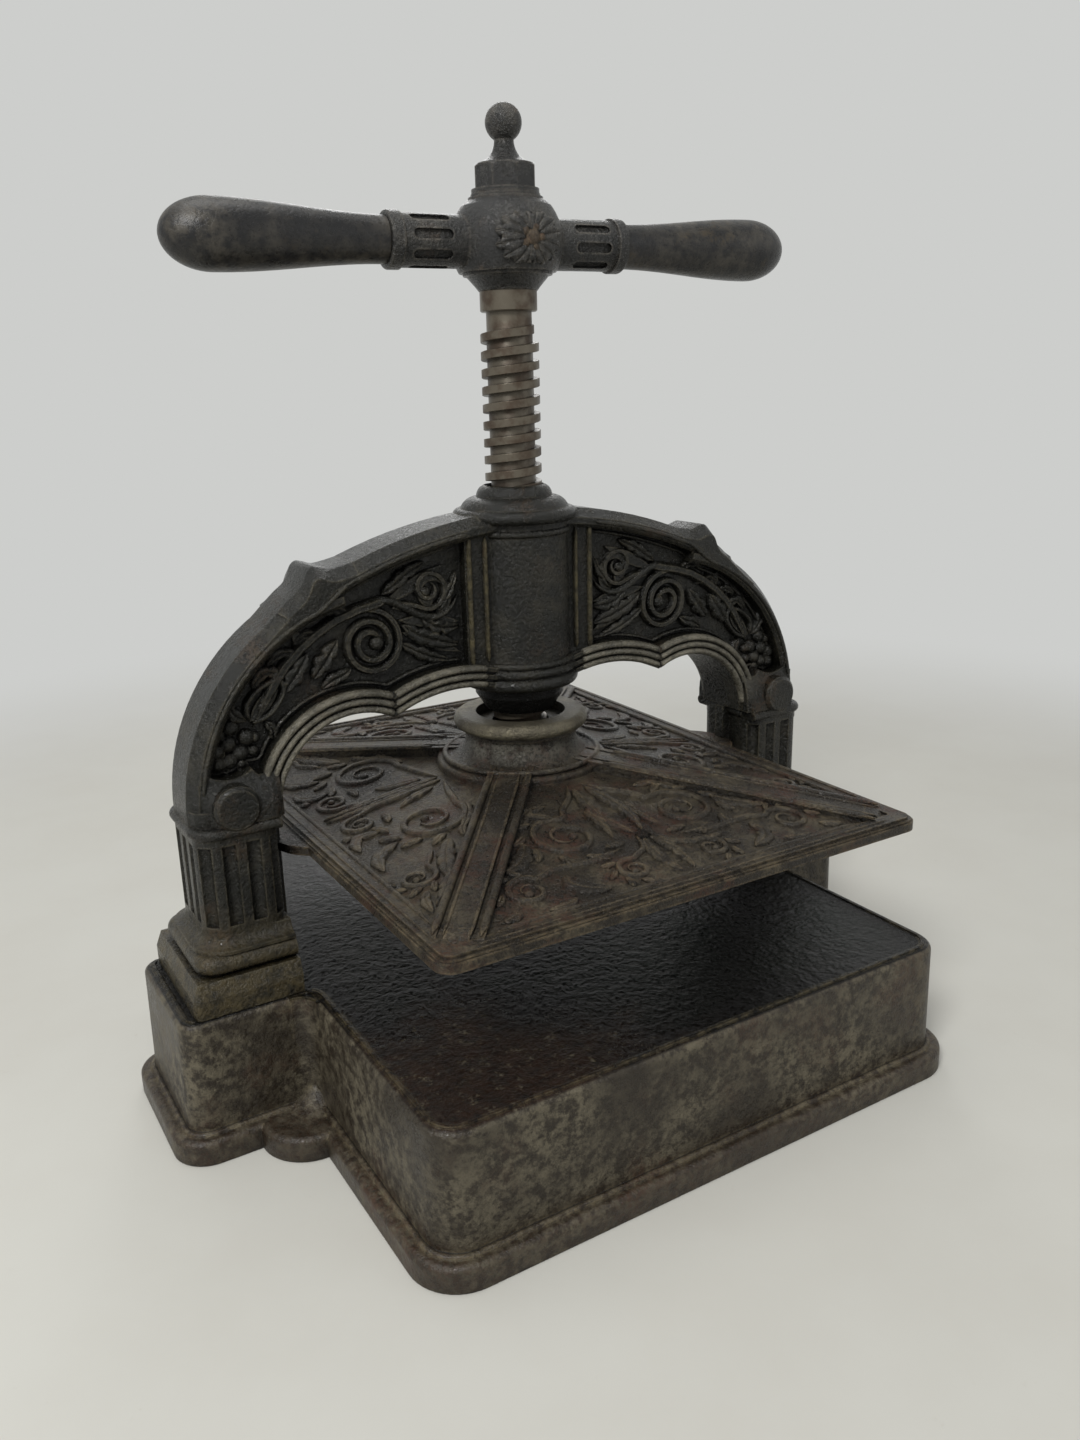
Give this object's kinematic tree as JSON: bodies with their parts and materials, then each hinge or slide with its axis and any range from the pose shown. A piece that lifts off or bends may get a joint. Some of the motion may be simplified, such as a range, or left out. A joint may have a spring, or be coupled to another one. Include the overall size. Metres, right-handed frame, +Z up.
{
  "type": "book press",
  "caption": "Cast-iron screw press with a hollow bed, a moulded arch on fluted columns and a ribbed platen that a two-handed lever screws down to flatten books.",
  "frame": {"origin": "on the floor plane, under the axis of the screw", "axes": "+Z up along the screw, +X along the arch to the right as seen from the front, +Y to the back"},
  "size_m": [0.485, 0.414, 0.5363],
  "materials": {
    "bed_iron": "old black lacquer over cast iron, pitted, with rust at the edges",
    "arch_iron": "dark patinated cast iron with brown wear on raised edges",
    "platen_iron": "brown patinated cast iron with low relief",
    "nut_iron": "oiled black iron",
    "collar_steel": "iron worn bright on its round rim",
    "screw_steel": "worn grey steel with rust in the thread",
    "lever_iron": "dark patinated cast iron",
    "grip_iron": "smooth black iron, polished by hands",
    "pad_bronze": "plain turned bronze",
    "fastener_steel": "dull steel"
  },
  "bodies": {
    "frame": {"base_casting": "bed_iron", "arch_casting": "arch_iron", "frame_bolts": "fastener_steel", "frame_washers": "fastener_steel", "screw_nut": "nut_iron", "nut_dowels": "fastener_steel"},
    "platen": {"platen_casting": "platen_iron", "platen_collar": "collar_steel", "collar_grub_screw": "fastener_steel", "thrust_pad": "pad_bronze"},
    "spindle": {"screw_spindle": "screw_steel", "lever_hub": "lever_iron", "lever_washer": "lever_iron", "finial_nut": "lever_iron", "left_grip": "grip_iron", "right_grip": "grip_iron", "grip_pins": "fastener_steel"}
  },
  "joints": [
    {"name": "platen_slide", "type": "slide", "parent": "frame", "child": "platen", "axis": [0, 0, 1], "range_m": [-0.0698, 0.0082]},
    {"name": "spindle_turn", "type": "hinge", "parent": "platen", "child": "spindle", "pos_m": [0, 0, 0.18], "axis": [0, 0, 1], "range_deg": [-2637, 303]}
  ],
  "couplings": [
    {"joint": "platen_slide", "follows": "spindle_turn", "m_per_rad": 0.001512}
  ]
}
